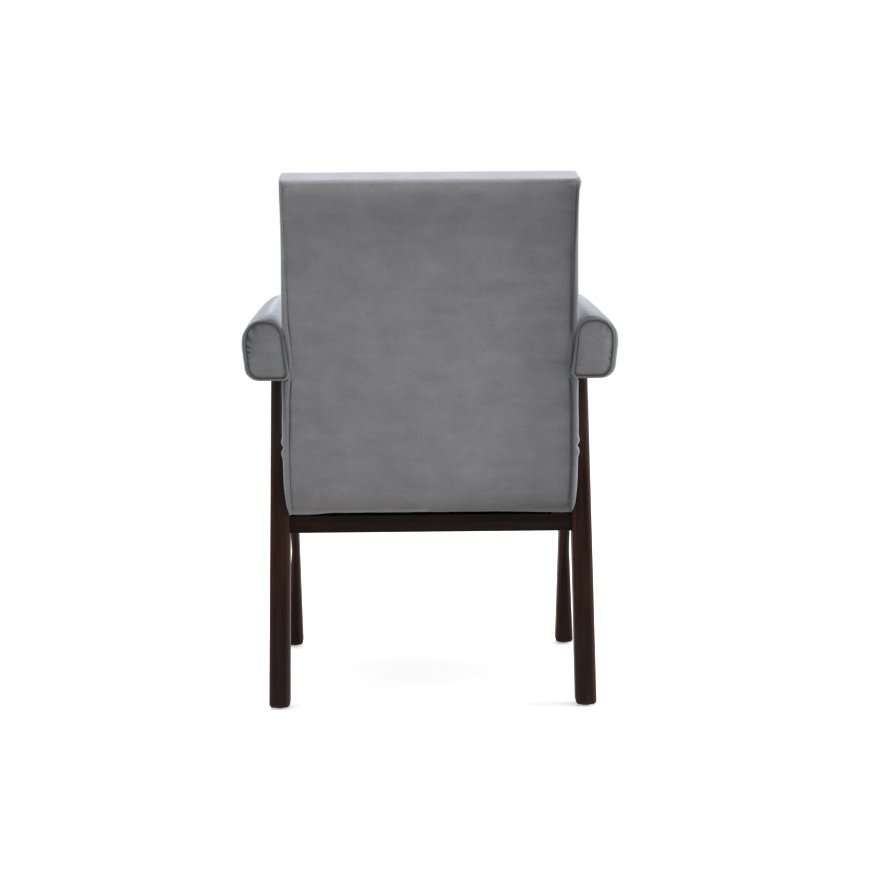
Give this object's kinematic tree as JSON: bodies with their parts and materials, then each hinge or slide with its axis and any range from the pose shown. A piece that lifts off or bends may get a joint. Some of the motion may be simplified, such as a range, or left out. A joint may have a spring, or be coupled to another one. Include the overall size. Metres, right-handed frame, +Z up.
{
  "type": "upholstered armchair",
  "caption": "Compact armchair with tight velvet seat, reclined back and padded arms on slanting wooden legs that form an upside-down V at each side.",
  "frame": {"origin": "on the floor, at the middle of the chair's width and depth", "axes": "+Z up, -Y the way a sitter faces, +X the sitter's left"},
  "size_m": [0.6002, 0.6154, 0.8583],
  "materials": {
    "stained_walnut": "dark stain, satin",
    "beech": "raw, hidden",
    "grey_velvet": "short pile velvet",
    "foam": "open cell foam",
    "webbing": "woven elastic",
    "dust_cloth": "thin non-woven cloth",
    "zinc_steel": "zinc plated",
    "black_nylon": "moulded"
  },
  "bodies": {
    "root": {"arm_board_left": "beech", "arm_board_right": "beech", "arm_bolt_left": "zinc_steel", "arm_bolt_right": "zinc_steel", "arm_cover_left": "grey_velvet", "arm_cover_right": "grey_velvet", "arm_dowel_front_left": "beech", "arm_dowel_front_right": "beech", "arm_dowel_rear_left": "beech", "arm_dowel_rear_right": "beech", "arm_end_front_left": "grey_velvet", "arm_end_front_right": "grey_velvet", "arm_end_rear_left": "grey_velvet", "arm_end_rear_right": "grey_velvet", "arm_foam_left": "foam", "arm_foam_right": "foam", "back_bar_bottom": "beech", "back_bar_top": "beech", "back_bolt_left": "zinc_steel", "back_bolt_right": "zinc_steel", "back_cover": "grey_velvet", "back_foam": "foam", "back_stile_left": "beech", "back_stile_right": "beech", "back_strap_1": "webbing", "back_strap_2": "webbing", "back_strap_3": "webbing", "corner_block_front_left": "beech", "corner_block_front_right": "beech", "corner_block_rear_left": "beech", "corner_block_rear_right": "beech", "dust_cover": "dust_cloth", "front_glide_left": "black_nylon", "front_glide_right": "black_nylon", "front_leg_left": "stained_walnut", "front_leg_right": "stained_walnut", "front_rail": "stained_walnut", "outer_back_panel": "grey_velvet", "rear_glide_left": "black_nylon", "rear_glide_right": "black_nylon", "rear_leg_left": "stained_walnut", "rear_leg_right": "stained_walnut", "rear_rail": "stained_walnut", "seat_bar_front": "beech", "seat_bar_left": "beech", "seat_bar_rear": "beech", "seat_bar_right": "beech", "seat_bolt_front_left": "zinc_steel", "seat_bolt_front_right": "zinc_steel", "seat_bolt_rear_left": "zinc_steel", "seat_bolt_rear_right": "zinc_steel", "seat_cover": "grey_velvet", "seat_foam": "foam", "seat_strap_1": "webbing", "seat_strap_2": "webbing", "seat_strap_3": "webbing", "side_rail_left": "stained_walnut", "side_rail_right": "stained_walnut"}
  },
  "joints": []
}
